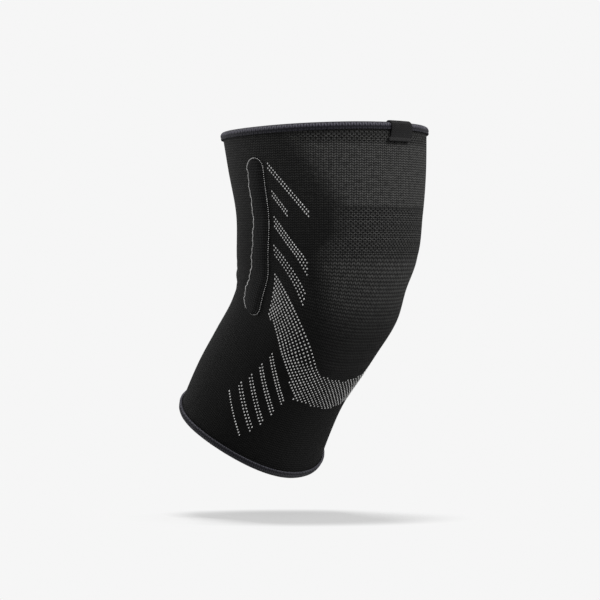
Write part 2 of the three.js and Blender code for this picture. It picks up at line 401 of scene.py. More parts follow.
def knit_group():
    """Relief of plain knit from cloth coordinates in millimetres: wales across, courses down."""
    group = bpy.data.node_groups.new("knit_relief", "ShaderNodeTree")
    inputs = [("Cloth", "Vector"), ("Wale", "Float"), ("Course", "Float"), ("Slant", "Float")]
    add_sockets(group, inputs, [("Height", "Float")])
    start = group.nodes.new("NodeGroupInput")
    end = group.nodes.new("NodeGroupOutput")
    across, down = split_vector(group, start.outputs["Cloth"])
    across = math_node(group, "DIVIDE", across, start.outputs["Wale"])
    down = math_node(group, "DIVIDE", down, start.outputs["Course"])
    column = math_node(group, "PINGPONG", across, 0.5)
    rib = math_node(group, "SINE", math_node(group, "MULTIPLY", column, 2 * math.pi))
    lean = math_node(group, "MULTIPLY", column, start.outputs["Slant"])
    loop_turn = math_node(group, "MULTIPLY", math_node(group, "ADD", down, lean), 2 * math.pi)
    loop = math_node(group, "SINE", loop_turn)
    loop = math_node(group, "MULTIPLY_ADD", loop, COURSE_SWING, COURSE_LEVEL)
    rib = math_node(group, "MULTIPLY_ADD", rib, WALE_SWING, WALE_LEVEL)
    group.links.new(math_node(group, "MULTIPLY", rib, loop), end.inputs["Height"])
    return group


KNIT_GROUP = knit_group()


def knit_relief(tree, cloth, wale, course, slant):
    node = tree.nodes.new("ShaderNodeGroup")
    node.node_tree = KNIT_GROUP
    tree.links.new(cloth, node.inputs["Cloth"])
    node.inputs["Wale"].default_value = wale
    node.inputs["Course"].default_value = course
    node.inputs["Slant"].default_value = slant
    return node.outputs["Height"]


def cloth_coordinates(tree):
    node = tree.nodes.new("ShaderNodeUVMap")
    node.uv_map = "cloth"
    return node.outputs["UV"]


# The cloth's length once round the leg, in millimetres, and the loops that it holds
KNIT_ROUND = 60 * 2 * math.pi
KNIT_LOOPS = 126
HEM_ROUND = 65 * 2 * math.pi
HEM_LOOPS = 113

# Marks on the knit's points, which zone_marks sets and the material reads
MARKS = ("mesh", "rib", "fine_and_painted_light")

# The knit's rows, and its colours from a furrow to a crown, and the painted shade in a hole
KNIT_PITCH = KNIT_ROUND / KNIT_LOOPS
KNIT_ROW = 1.7
HOLE_ROW = 1.5
HOLE_DEPTH = 1.3
RIB_ROW = 2.3
RIB_HEIGHT = 0.18
KNIT_DARK = (0.0036, 0.0036, 0.0037)
KNIT_LIGHT = (0.150, 0.149, 0.145)
HOLE_SHADE = (0.0015, 0.0015, 0.0015)

# Light yarn's share: on plain knit, and added by open and by fine mesh, whose mark also carries
# painted light on the upper thigh. The mottle and the loops each multiply it by a swing and a
# level; the loops' swing leaves the furrows between the crowns dark, a painted shade
PLAIN_LIGHT = 0.15
MESH_LIGHT = 0.7
MOTTLE_TONE = (1.2, 0.05)
LOOP_TONE = (1.6, 0.04)

# Painted shade: the knit darkens below the knee, where less light reaches the calf. Where that
# begins and ends, and the tone that it comes to
CALF_SHADE_SPAN = (95, 165)
CALF_SHADE_TONE = (0.5, 0.5, 0.5)


def mesh_holes(tree, across, down):
    """The open mesh's round holes. They lie in rows, every second row half a hole along."""
    row = math_node(tree, "DIVIDE", down, HOLE_ROW)
    odd = math_node(tree, "MODULO", math_node(tree, "FLOOR", row), 2)
    odd = math_node(tree, "MULTIPLY", odd, 0.5)
    column = math_node(tree, "ADD", math_node(tree, "DIVIDE", across, KNIT_PITCH), odd)
    away = []
    for place, weight in ((column, 9.0), (row, 4.5)):
        off = math_node(tree, "SUBTRACT", math_node(tree, "FRACT", place), 0.5)
        away.append(math_node(tree, "MULTIPLY", math_node(tree, "POWER", off, 2), weight))
    near = math_node(tree, "SMOOTH_MIN", math_node(tree, "ADD", *away), 1.0, 0.2)
    return math_node(tree, "MAXIMUM", math_node(tree, "SUBTRACT", 1.0, near), 0.0)


def knit_material():
    """Near-black knit: plain ground, open mesh and ribs, each where its mark says."""
    material, tree, shader = new_material("knit")
    cloth = cloth_coordinates(tree)
    across, down = split_vector(tree, cloth)
    mesh, rib, fine_and_painted_light = (attribute(tree, name) for name in MARKS)
    plain = knit_relief(tree, cloth, KNIT_PITCH, KNIT_ROW, 1.0)
    ribs = math_node(tree, "SINE", math_node(tree, "MULTIPLY", down, 2 * math.pi / RIB_ROW))
    ribs = math_node(tree, "MULTIPLY", ribs, RIB_HEIGHT)
    holes = math_node(tree, "MULTIPLY", mesh_holes(tree, across, down), mesh)
    height = math_node(tree, "MULTIPLY", plain, 0.5)
    height = math_node(tree, "SUBTRACT", height, math_node(tree, "MULTIPLY", holes, HOLE_DEPTH))
    height = math_node(tree, "ADD", height, math_node(tree, "MULTIPLY", ribs, rib))
    tree.links.new(bump(tree, height, 0.0011), shader.inputs["Normal"])

    # Tone: the fine and the open mesh show lighter yarn, the upper thigh takes painted light, and
    # the holes take painted shade
    mottle = noise(tree, cloth, 0.35, 3)
    light = math_node(tree, "MULTIPLY_ADD", mesh, MESH_LIGHT, PLAIN_LIGHT)
    light = math_node(tree, "MULTIPLY_ADD", fine_and_painted_light, MESH_LIGHT, light)
    for pattern, tone in ((mottle, MOTTLE_TONE), (plain, LOOP_TONE)):
        light = math_node(tree, "MULTIPLY", light, math_node(tree, "MULTIPLY_ADD", pattern, *tone))
    ground = mix_colour(tree, light, KNIT_DARK, KNIT_LIGHT)
    # Painted shade in the mesh holes, where the dark inside shows through
    ground = mix_colour(tree, math_node(tree, "MULTIPLY", holes, 0.96), ground, HOLE_SHADE)
    # Painted shade that darkens the knit down the calf
    shade = mix_colour(tree, map_range(tree, down, *CALF_SHADE_SPAN, 0, 1), (1, 1, 1), CALF_SHADE_TONE)
    ground = mix_colour(tree, 1, ground, shade, "MULTIPLY")
    tree.links.new(ground, shader.inputs["Base Color"])
    set_finish(shader, 0.9, 0.12, 0.03)
    return material


# Painted light on a binding's crowns changes between these distances along its section, from its
# edge to its rim: a lighter band where light catches the binding, a darker band in its shade
PAINTED_LIGHT_BAND = (2.2, 3.4)


def yarn_material(name, low, high, wale, course, depth, sheen, slant=0.5, edge=1.0, rim=1.0):
    """Knit or rib of one yarn: low and high are the colours of its furrows and its crowns; the
    darker furrows are partly painted shade.

    edge and rim scale the crowns' colour at a binding's edge and at its rim: painted light, lighter
    where light catches the binding and darker in its shade.
    """
    material, tree, shader = new_material(name)
    cloth = cloth_coordinates(tree)
    height = knit_relief(tree, cloth, wale, course, slant)
    mottle = noise(tree, cloth, 0.5, 2)
    share = math_node(tree, "MULTIPLY", height, math_node(tree, "MULTIPLY_ADD", mottle, 0.6, 0.55))
    # Painted light and shade along the section, scaled by edge and rim
    fold = map_range(tree, split_vector(tree, cloth)[1], *PAINTED_LIGHT_BAND, edge, rim, "LINEAR")
    share = math_node(tree, "MULTIPLY", share, fold)
    tree.links.new(mix_colour(tree, share, low, high), shader.inputs["Base Color"])
    tree.links.new(bump(tree, height, depth), shader.inputs["Normal"])
    set_finish(shader, 0.88, 0.15, sheen)
    return material


def dot_material():
    """Pale, slightly mottled yarn of the dots and the seams."""
    material, tree, shader = new_material("pattern_yarn")
    place = tree.nodes.new("ShaderNodeTexCoord").outputs["Object"]
    grain = noise(tree, place, 900, 2)
    colour = mix_colour(tree, grain, (0.75, 0.75, 0.74), (1.0, 1.0, 0.99))
    tree.links.new(colour, shader.inputs["Base Color"])
    set_finish(shader, 0.8, 0.25)
    return material


# ---- Sleeve ----

# Faces round the tube, and rows of points down its outer and its inner face
ROUND = 300
OUTER_ROWS = 268
INNER_ROWS = 45


def smoothstep(value, low, high):
    """Rises softly from 0 at low to 1 at high."""
    t = np.clip((value - low) / (high - low), 0, 1)
    return t * t * (3 - 2 * t)


def between(value, low, high, soft):
    """1 between low and high, and 0 outside them, with soft ends."""
    rise = smoothstep(value, low - soft, low + soft)
    return rise * (1 - smoothstep(value, high - soft, high + soft))


# Side edges of the mesh field in front: distance down, and degrees from the front
MESH_EDGE = [
    (3, 74), (12, 72), (30, 62), (40, 56), (50, 50), (57, 45),
    (75, 45), (90, 57), (95, 58), (130, 45), (150, 32),
]

# Zones of the mesh field: where each begins and ends, in millimetres down, and how softly
TOP_MESH = (4, 12, 1.5)
KNEE_MESH = (57, 90, 2)
THIGH_FINE = (12.5, 56, 1)
CALF_RIBS = (118, 150, 8)
CALF_FINE = (120, 150, 8)

# Fine knit that fades in or out over the kneecap and behind the knee, and painted light that fades
# out down the plain thigh, which the lamps light less; all in millimetres down and round to the
# back, in degrees. Then each one's share: light yarn over the kneecap, painted light on the thigh,
# light yarn behind the knee
KNEECAP_IN, KNEECAP_OUT = (89, 93), (97, 132)
THIGH_OUT = (35, 80)
BEHIND_OUT = (120, 190)
BEHIND_IN = (112, 150)
KNEECAP_FINE, THIGH_PAINTED_LIGHT, BEHIND_FINE = 0.78, 0.19, 0.38


def zone_marks(angle, down):
    """Shares of open mesh, ribs and fine, lighter yarn, with painted light on the upper thigh, at
    each point of the knit.
    """
    turn = np.abs(np.degrees((angle + np.pi) % (2 * np.pi) - np.pi))
    drops, edges = zip(*MESH_EDGE)
    edge = np.interp(down, drops, edges)
    inside = 1 - smoothstep(turn, edge - 16, edge + 3)
    coarse = np.maximum(between(down, *TOP_MESH), between(down, *KNEE_MESH))
    kneecap = smoothstep(down, *KNEECAP_IN) * (1 - smoothstep(down, *KNEECAP_OUT))
    slight = np.maximum(between(down, *THIGH_FINE), KNEECAP_FINE * kneecap)
    holes = 1 - smoothstep(turn, edge - 3, edge + 3)
    mesh = (0.35 * holes + 0.65 * inside) * np.clip(coarse * 0.95 + 0.08 * slight, 0, 1)
    rib = inside * between(down, *CALF_RIBS)
    behind = smoothstep(turn, *BEHIND_IN) * (1 - smoothstep(down, *BEHIND_OUT))
    # Painted light on the plain upper thigh outside the mesh field, which the lamps light less
    thigh = (1 - smoothstep(down, *THIGH_OUT)) * (1 - inside)
    fine_and_painted_light = inside * np.clip(slight * 0.95 + between(down, *CALF_FINE) * 0.1, 0, 1)
    fine_and_painted_light = np.clip(fine_and_painted_light + behind * BEHIND_FINE + thigh * THIGH_PAINTED_LIGHT, 0, 1)
    return mesh, rib, fine_and_painted_light


def build_sleeve(material):
    """The knitted tube: a fine outer face from rim to rim, and a plainer inner face back up."""
    angles = np.arange(ROUND) / ROUND * 2 * np.pi
    edge = RIM_COVER / SLEEVE_LENGTH
    outer = np.linspace(edge, 1 - edge, OUTER_ROWS)
    inner = np.linspace(1 - edge, edge, INNER_ROWS)
    points, cloth, marks = [], [], [[], [], []]
    for shares, out in ((outer, 0.0), (inner, -float(KNIT_WALL))):
        for share in shares:
            down = row_at(share, angles)
            points.append(sleeve_point(angles, down, np.full(ROUND, out)))
            cloth.append(np.stack([angles * KNIT_ROUND / (2 * math.pi), down], -1))
            for held, values in zip(marks, zone_marks(angles, down)):
                held.append(values if out == 0 else values * 0)
    faces = grid_faces(OUTER_ROWS + INNER_ROWS, ROUND, True, True)
    marks = dict(zip(MARKS, marks))
    return face_outward(mesh_piece("knit_tube", points, faces, material, cloth, marks, KNIT_ROUND))


# ---- Hems ----

HEM_STEPS = 720
FOLD_STEPS = 8
BOTTOM_RIDGE = 0.45

# Waves of a binding's face round the rim: height, waves and start, the ribs first
HEM_WAVES = [(0.05, 200, 0), (0.036, 37, 0), (0.03, 23, 1)]


def fold(reach, steps):
    """Half a turn over the rim, from outside in, at a reach from the knit's middle."""
    turns = [i / steps * math.pi for i in range(steps + 1)]
    return [(RIM_COVER - reach * math.sin(turn), reach * math.cos(turn)) for turn in turns]


def hem_profile(height, ridge):
    """A folded strip's section as (inward, out), clockwise. ridge raises the edge that ends it."""
    gap = KNIT_WALL / 2 + CLEARANCE
    far = gap + HEM_WALL
    rows = [(height + 0.1, far - 0.9), (height, far - 0.15 + ridge), (height - 0.7, far + ridge)]
    rows += [(height - 1.5, far - 0.25), (height - 2.3, far + 0.02)]
    rows += fold(far, FOLD_STEPS) + [(height, -far), (height, -gap)]
    return rows + fold(gap, FOLD_STEPS)[::-1] + [(height + 0.1, gap)]


def build_hem(name, top, height, ridge, material):
    """A rim's binding, folded over the knit's cut edge and ribbed across."""
    angles = np.arange(HEM_STEPS) / HEM_STEPS * 2 * np.pi
    profile = hem_profile(height, ridge)
    points, cloth = [], []
    run = 0.0
    crown = row_at(0.0 if top else 1.0, angles)
    swell = wave_sum(HEM_WAVES, angles)
    for k, (inward, out) in enumerate(profile):
        down = crown + (inward if top else -inward)
        lift = out - KNIT_WALL / 2 + swell * (0.5 + 0.5 * math.cos(0.2 * k))
        points.append(sleeve_point(angles, down, lift))
        cloth.append(np.stack([angles * HEM_ROUND / (2 * math.pi), np.full(HEM_STEPS, run)], -1))
        if k + 1 < len(profile):
            run += math.dist(profile[k], profile[k + 1])
    faces = grid_faces(len(profile), HEM_STEPS, True, True)
    return face_outward(mesh_piece(name, points, faces, material, cloth, wrap=HEM_ROUND))


# ---- Stay channels ----

CHANNEL_LENGTH = 120
CHANNEL_WIDTHS = (14.5, 18.5)
CHANNEL_DROP = 22
CHANNEL_TURNS = (math.radians(96), math.radians(109))
CHANNEL_ROWS = 230
CHANNEL_COLUMNS = 41
CHANNEL_HALF = 8

# A channel's relief: heights in millimetres of its edge, its pad and a slow wave along it, then the
# crease and the puckers beside the seam as height, place across and width. The runs are radians in
# the channel's length
EDGE_HEIGHT = 0.5
PAD_HEIGHT = 1.6
SLOW_HEIGHT = 0.25
SLOW_RUN = 17
CREASE = (0.35, 0.74, 0.07)
PUCKER = (0.22, 0.8, 0.16)
PUCKER_RUN = 130


def channel_line(share):
    """The channel's middle angle and half width at a share of its length."""
    swing = smoothstep(share, 0.3, 0.95)
    middle = CHANNEL_TURNS[0] + (CHANNEL_TURNS[1] - CHANNEL_TURNS[0]) * swing
    half = (CHANNEL_WIDTHS[0] + (CHANNEL_WIDTHS[1] - CHANNEL_WIDTHS[0]) * swing) / 2
    return middle, half


def round_speed(middle, down):
    """Millimetres round the leg for each radian."""
    probe = 0.002
    gap = face_point(middle + probe, down) - face_point(middle - probe, down)
    return np.linalg.norm(gap, axis=-1) / (2 * probe)


def channel_half(share):
    """The middle angle, and the half width with the round ends taken in."""
    drop = share * CHANNEL_LENGTH
    middle, half = channel_line(share)
    top, bottom = CHANNEL_WIDTHS[0] / 2, CHANNEL_WIDTHS[1] / 2
    head = np.clip(1 - drop / top, 0, 1)
    foot = np.clip(1 - (CHANNEL_LENGTH - drop) / bottom, 0, 1)
    ends = np.sqrt(np.clip(1 - head**2, 0, 1)) * np.sqrt(np.clip(1 - foot**2, 0, 1))
    return middle, half * ends


def channel_surface(side, share, across):
    """The channel's crown: angle, distance down and height. across runs from -1 in front to 1."""
    down = CHANNEL_DROP + share * CHANNEL_LENGTH
    middle, half = channel_half(share)
    angle = side * (middle + across * half / round_speed(middle, down))
    pad = np.clip(1 - np.abs(across) ** 3.2, 0, 1) * np.clip(half / 4, 0, 1)
    crease = bell(np.abs(across), *CREASE)
    pucker = bell(np.abs(across), *PUCKER) * np.sin(share * PUCKER_RUN + across * 2.5)
    slow = SLOW_HEIGHT * np.sin(share * SLOW_RUN + side) * (1 - across**2)
    out = CLEARANCE + EDGE_HEIGHT + PAD_HEIGHT * pad - crease + pucker + slow
    return angle, down, out


def build_channel(name, side, material):
    """A padded channel: its crown, and its base just off the knit's face."""
    shares = (1 - np.cos(np.linspace(0.05, math.pi - 0.05, CHANNEL_ROWS))) / 2
    steps = np.linspace(-1, 1, CHANNEL_COLUMNS)
    share, across = np.meshgrid(shares, steps, indexing="ij")
    angle, down, out = channel_surface(side, share, across)
    crown = sleeve_point(angle, down, out)
    base = sleeve_point(angle, down, np.full_like(out, 0.15))[:, ::-1]
    points = np.concatenate([crown, base], 1)
    flat = np.stack([across * CHANNEL_HALF, down], -1)
    cloth = np.concatenate([flat, flat[:, ::-1]], 1)
    count = 2 * CHANNEL_COLUMNS
    faces = grid_faces(CHANNEL_ROWS, count, False, True) + end_faces(CHANNEL_ROWS, count)
    return face_outward(mesh_piece(name, points, faces, material, cloth))


# ---- Label ----

LABEL_WIDTH = 21
LABEL_TURN = math.radians(-3.5)
LABEL_FRONT = 13.5
LABEL_BACK = 9
LABEL_THICKNESS = 0.9
LABEL_FLAP = 10.6
LABEL_FLAP_SHIFT = 1.9
LABEL_BEND = 7.5
LABEL_TOP = TOP_HEM_HEIGHT + CLEARANCE
LABEL_SKEW = -0.06
SKEW_END = 13
RIM_RADIUS = 70
LABEL_COLUMNS = 25
LABEL_FOLD_STEPS = 12


def label_profile():
    """The folded label's section as (inward, out): its outer and its inner face, front to back."""
    gap = KNIT_WALL / 2 + 2 * CLEARANCE + HEM_WALL
    far = gap + LABEL_THICKNESS
    outer = [(LABEL_FRONT, far + 0.3), (LABEL_FRONT - 0.4, far + 0.5)]
    outer += [(LABEL_FLAP + 1.2, far + 0.1), (LABEL_FLAP + 0.3, far - 0.45)]
    outer += [(LABEL_FLAP, far - 0.9), (LABEL_BEND, far - 0.4), (LABEL_TOP, far)]
    inner = [(LABEL_FRONT, gap + 0.5), (LABEL_FRONT - 0.4, gap + 0.3)]
    inner += [(LABEL_FLAP + 1.2, gap - 0.6), (LABEL_FLAP + 0.3, gap - 1)]
    inner += [(LABEL_FLAP, gap - 1.1), (LABEL_BEND, gap - 0.5), (LABEL_TOP, gap)]
    outer += fold(far, LABEL_FOLD_STEPS) + [(LABEL_BACK, -far)]
    inner += fold(gap, LABEL_FOLD_STEPS) + [(LABEL_BACK, -gap)]
    return outer, inner


def build_label(material):
    """The label, folded over the top binding, with its front flap turned a little aside."""
    outer, inner = label_profile()
    profile = outer + inner[::-1]
    count = len(profile)
    steps = np.linspace(-1, 1, LABEL_COLUMNS)
    angles = LABEL_TURN + steps * LABEL_WIDTH / ZONES["thigh"][0]
    run = np.concatenate([[0], np.cumsum([math.dist(a, b) for a, b in zip(outer, outer[1:])])])
    run = np.concatenate([run, run[::-1]])
    inward, out = (np.array(values) for values in zip(*profile))
    folded = (inward > LABEL_FLAP) & (out > 0)
    skew = LABEL_SKEW * inward * np.clip(inward / SKEW_END, 0, 1) - LABEL_FLAP_SHIFT * folded
    points, cloth = [], []
    for step, angle in zip(steps, angles):
        turn = angle + skew / RIM_RADIUS
        down = row_at(0.0, turn) + inward
        points.append(sleeve_point(turn, down, out - KNIT_WALL / 2))
        cloth.append(np.stack([np.full(count, step * LABEL_WIDTH / 2), run], -1))
    faces = grid_faces(LABEL_COLUMNS, count, False, True) + end_faces(LABEL_COLUMNS, count)
    return face_outward(mesh_piece("folded_label", points, faces, material, cloth))


# ---- Knitted-in dots and stitches ----

# Dots, in millimetres: the step down a column, and the drop from dot to dot of a single row
DOT_ROW = 3.2
SINGLE_PITCH = 1.35

# The band's columns: degrees between them in front and behind, and how far each degree steps them
# down in front of the upper edge's corner
BAND_COLUMNS = (2.0, 1.55)
BAND_SLOPE = 0.8

# Sizes of the dots in the stripes, and in the band in front and behind
STRIPE_DOT = 0.88
BAND_DOTS = (0.76, 1.0)

# Stripes: first dot, last dot as (degrees from the front, distance down), and dots in a column
STRIPES = [
    ((86.5, 26.2), (60.7, 59.7), 2),
    ((85.2, 45.4), (75.2, 59.2), 2),
    ((85.4, 63.1), (62.2, 93.6), 3),
    ((87.2, 82.9), (62.4, 110.2), 3),
    ((71.7, 154.8), (44.9, 181.6), 2),
    ((74.8, 166.3), (47.9, 192.1), 2),
    ((77.8, 177.6), (51.7, 202.2), 2),
    ((82.2, 187.7), (56.1, 210.5), 2),
    ((87.2, 199.1), (61.3, 220.6), 1),
]

# The band of dots round the knee: its upper and its lower edge from the back to the front, and
# the upper edge's corner, where its slope ends
BAND_TOP = [
    (90.6, 101.6), (77.1, 113.8), (66.9, 122.2), (56, 131.4), (43.9, 141.1),
    (28.6, 153.3), (18.8, 153.9), (5.6, 155.7), (0, 156.6),
]
BAND_FOOT = [
    (92.3, 115.3), (91.2, 131.1), (78.4, 139.7), (64.2, 150.7), (47.9, 167.1),
    (37.4, 178.6), (26.6, 179), (12.7, 180.5), (0.7, 182.3), (0, 182.4),
]
BAND_CORNER = BAND_TOP[5]

# Dots nearer the front than this have no mirrored dot
FRONT_DEGREES = 0.5


def stripe(start, end, rows):
    """One stripe's dots. Each column lies half a dot lower than the one behind it."""
    fall = end[1] - start[1]
    columns = round(fall / (SINGLE_PITCH if rows == 1 else DOT_ROW / 2))
    found = []
    for i in range(columns + 1):
        turn = start[0] + (end[0] - start[0]) * i / columns
        for j in range(rows):
            found.append((turn, start[1] + fall * i / columns + j * DOT_ROW, STRIPE_DOT))
    return found


def band_dots():
    """The band's columns of dots. Each starts about half a dot lower than the one behind it."""
    top_turn, top_drop = (np.array(values) for values in zip(*BAND_TOP[::-1]))
    foot_turn, foot_drop = (np.array(values) for values in zip(*BAND_FOOT[::-1]))
    corner_turn, corner_drop = BAND_CORNER
    found = []
    turn = 0.0
    while turn < BAND_TOP[0][0]:
        high = np.interp(turn, top_turn, top_drop)
        low = np.interp(turn, foot_turn, foot_drop)
        line = high if turn > corner_turn else corner_drop + (corner_turn - turn) * BAND_SLOPE
        size = BAND_DOTS[0] + (BAND_DOTS[1] - BAND_DOTS[0]) * float(smoothstep(turn, 12, 55))
        drop = line + math.ceil((high - line) / DOT_ROW - 0.1) * DOT_ROW
        while drop <= low:
            found.append((turn, drop, size))
            drop += DOT_ROW
        step = float(smoothstep(turn, 48, 66))
        turn += BAND_COLUMNS[0] + (BAND_COLUMNS[1] - BAND_COLUMNS[0]) * step
    return found


def dot_places():
    """Every dot's angle, distance and size, on both sides of the leg."""
    half = band_dots()
    for start, end, rows in STRIPES:
        half += stripe(start, end, rows)
    half = np.array(half)
    mirrored = half[half[:, 0] > FRONT_DEGREES] * (-1, 1, 1)
    return np.concatenate([half, mirrored])


# Stitches: how high each stands, a dot's length and width, and for the dots and the seams how far
# they lie off the knit's face, how much their sizes vary, and the seed of that
STITCH_HEIGHT = 0.26
DOT_STITCH = (1.7, 1.22)
DOT_OUT, DOT_VARY, DOT_SEED = 0.05, 0.12, 7
SEAM_OUT, SEAM_VARY, SEAM_SEED = 0.95, 0.15, 3


def loop_mesh(name, material, length, width):
    """One raised knit stitch: a small closed lozenge with a domed face."""
    height = STITCH_HEIGHT
    corners = [(-1, 0), (-0.45, -0.88), (0.55, -0.88), (1, 0), (0.55, 0.88), (-0.45, 0.88)]
    points = [(x * length / 2, y * width / 2, -height * 0.6) for x, y in corners]
    points += [(x * length * 0.36, y * width * 0.36, height * 0.65) for x, y in corners]
    points += [(0, 0, height)]
    faces = [[k, (k + 1) % 6, 6 + (k + 1) % 6, 6 + k] for k in range(6)]
    faces += [[6 + k, 6 + (k + 1) % 6, 12] for k in range(6)]
    faces.append([5, 4, 3, 2, 1, 0])
    return mesh_piece(name, points, faces, material)


def stored(tree, kind, name):
    """What a point of the carrier holds under a name."""
    node = tree.nodes.new("GeometryNodeInputNamedAttribute")
    node.data_type = kind
    node.inputs["Name"].default_value = name
    return node.outputs["Attribute"]


def scatter_group(name, stitch, material):
    """Puts a stitch on each point, turned to the face and along its course, and varies its size."""
    tree = bpy.data.node_groups.new(name + "_layout", "GeometryNodeTree")
    nodes, link = tree.nodes, tree.links.new
    body = ("Geometry", "Geometry")
    add_sockets(tree, [body, ("Vary", "Float"), ("Seed", "Int")], [body])
    start, end = nodes.new("NodeGroupInput"), nodes.new("NodeGroupOutput")
    source = nodes.new("GeometryNodeObjectInfo")
    source.inputs["Object"].default_value = stitch
    stand = nodes.new("FunctionNodeAlignRotationToVector")
    stand.axis = "Z"
    link(stored(tree, "FLOAT_VECTOR", "facing"), stand.inputs["Vector"])
    turn = nodes.new("FunctionNodeAlignRotationToVector")
    turn.axis = "X"
    turn.pivot_axis = "Z"
    link(stand.outputs["Rotation"], turn.inputs["Rotation"])
    link(stored(tree, "FLOAT_VECTOR", "course"), turn.inputs["Vector"])
    chance = nodes.new("FunctionNodeRandomValue")
    chance.data_type = "FLOAT"
    link(math_node(tree, "SUBTRACT", 1.0, start.outputs["Vary"]), chance.inputs[2])
    link(math_node(tree, "ADD", 1.0, start.outputs["Vary"]), chance.inputs[3])
    link(start.outputs["Seed"], chance.inputs["Seed"])
    scale = math_node(tree, "MULTIPLY", chance.outputs[1], stored(tree, "FLOAT", "size"))
    place = nodes.new("GeometryNodeInstanceOnPoints")
    link(start.outputs["Geometry"], place.inputs["Points"])
    link(source.outputs["Geometry"], place.inputs["Instance"])
    link(turn.outputs["Rotation"], place.inputs["Rotation"])
    link(scale, place.inputs["Scale"])
    real = nodes.new("GeometryNodeRealizeInstances")
    link(place.outputs["Instances"], real.inputs["Geometry"])
    paint = nodes.new("GeometryNodeSetMaterial")
    paint.inputs["Material"].default_value = material
    link(real.outputs["Geometry"], paint.inputs["Geometry"])
    link(paint.outputs["Geometry"], end.inputs["Geometry"])
    return tree


def scattered(name, stitch, places, material, vary, seed):
    """Copies of one stitch at places, laid out with Geometry Nodes, as one plain mesh.

    places holds the points, the ways that the stitches face and run, and their sizes.
    """
    points, normals, tangents, sizes = places
    carrier = bpy.data.meshes.new(name + "_points")
    carrier.from_pydata((points * MM).tolist(), [], [])
    for label, values in (("facing", normals), ("course", tangents)):
        held = carrier.attributes.new(label, "FLOAT_VECTOR", "POINT")
        held.data.foreach_set("vector", np.asarray(values, np.float32).ravel())
    held = carrier.attributes.new("size", "FLOAT", "POINT")
    held.data.foreach_set("value", np.asarray(sizes, np.float32))
    holder = add_object(name + "_points", carrier)
    modifier = holder.modifiers.new("layout", "NODES")
    modifier.node_group = scatter_group(name, stitch, material)
    settings = {"Vary": vary, "Seed": seed}
    for item in modifier.node_group.interface.items_tree:
        if item.in_out == "INPUT" and item.name in settings:
            modifier[item.identifier] = settings[item.name]
    bpy.context.view_layer.update()
    graph = bpy.context.evaluated_depsgraph_get()
    data = bpy.data.meshes.new_from_object(holder.evaluated_get(graph))
    data.name = name
    bpy.data.objects.remove(holder)
    bpy.data.objects.remove(stitch)
    return add_object(name, data)


def build_dots(material):
    """The dots of the band and the stripes, on both sides."""
    places = dot_places()
    angle, down = np.radians(places[:, 0]), places[:, 1]
    points = sleeve_point(angle, down, np.full(len(angle), DOT_OUT))
    normals = face_normal(angle, down)
    tangents = face_point(angle, down + 0.5) - face_point(angle, down - 0.5)
    stitch = loop_mesh("dot_stitch", material, *DOT_STITCH)
    places = (points, normals, tangents, places[:, 2])
    return scattered("pattern_dots", stitch, places, material, DOT_VARY, DOT_SEED)


# The seam's front line and its back line: pitch, place across the channel, and a stitch's length
# and width. The back line also sways
SEAM_PITCH = (1.45, 1.1)
SEAM_ACROSS = (-1.04, 1.09)
SEAM_SWAY = [(0.05, 47, 0), (0.04, 121, 1)]
SEAM_STEPS = 400
FRONT_STITCH = (0.8, 0.5)
BACK_STITCH = (1.4, 0.68)


def channel_outline(side):
    """The closed line round a channel: down its front edge and up its back, as angles and drops."""
    run = (1 - np.cos(np.linspace(0, math.pi, SEAM_STEPS))) / 2
    share = np.concatenate([run, run[::-1]])
    across = np.repeat(SEAM_ACROSS, SEAM_STEPS)
    across = across + np.where(across > 0, wave_sum(SEAM_SWAY, share), 0.0)
    middle, half = channel_half(share)
    down = CHANNEL_DROP + share * CHANNEL_LENGTH
    return side * (middle + across * half / round_speed(middle, down)), down


def even_places(angle, down, pitch):
    """Places an even distance apart along a line on the knit, with the line's direction."""
    reach = 0.3
    points = sleeve_point(angle, down, np.zeros(len(angle)))
    run = np.concatenate([[0], np.cumsum(np.linalg.norm(np.diff(points, axis=0), axis=1))])
    at = np.arange(0, run[-1], pitch)
    angle, down = (np.interp(at, run, values) for values in (angle, down))
    before, ahead = at - reach, np.minimum(at + reach, run[-1])
    tangent = [np.interp(ahead, run, axis) - np.interp(before, run, axis) for axis in points.T]
    return angle, down, np.stack(tangent, -1)


def build_stitches(name, length, width, back, material):
    """The seam round both channels: back picks the close, bright line behind, or the dotted one."""
    held = []
    for side in (-1, 1):
        angle, down, tangent = even_places(*channel_outline(side), SEAM_PITCH[back])
        middle, _ = channel_line((down - CHANNEL_DROP) / CHANNEL_LENGTH)
        keep = (np.abs(angle) > middle) == back
        held.append((angle[keep], down[keep], tangent[keep]))
    angle, down, tangents = (np.concatenate(values) for values in zip(*held))
    points = sleeve_point(angle, down, np.full(len(angle), SEAM_OUT))
    normals = face_normal(angle, down)
    stitch = loop_mesh(name + "_single", material, length, width)
    places = (points, normals, tangents, np.ones(len(angle)))
    return scattered(name, stitch, places, material, SEAM_VARY, SEAM_SEED)


# ---- Stage ----

# The floor's oval that takes the shadow: its middle, and its half width and half depth as the
# camera sees it. Its glow is lower near the sleeve, where the lamp lights it too
SHADOW_SPOT = (-0.021, 0.012, -0.157)
SHADOW_WIDE = 0.134
SHADOW_DEEP = 0.056
FLOOR_NEAR = 0.448
FLOOR_FAR = 0.921

# The floor's sweep in millimetres: its level, where it runs from and starts to rise, the rise's
# radius, and the top and the half width
FLOOR_LEVEL = -157.0
FLOOR_START = -3000
FLOOR_RISE = 600
RISE_RADIUS = 900
RISE_STEPS = 16
SWEEP_TOP = 4000
SWEEP_HALF = 4000


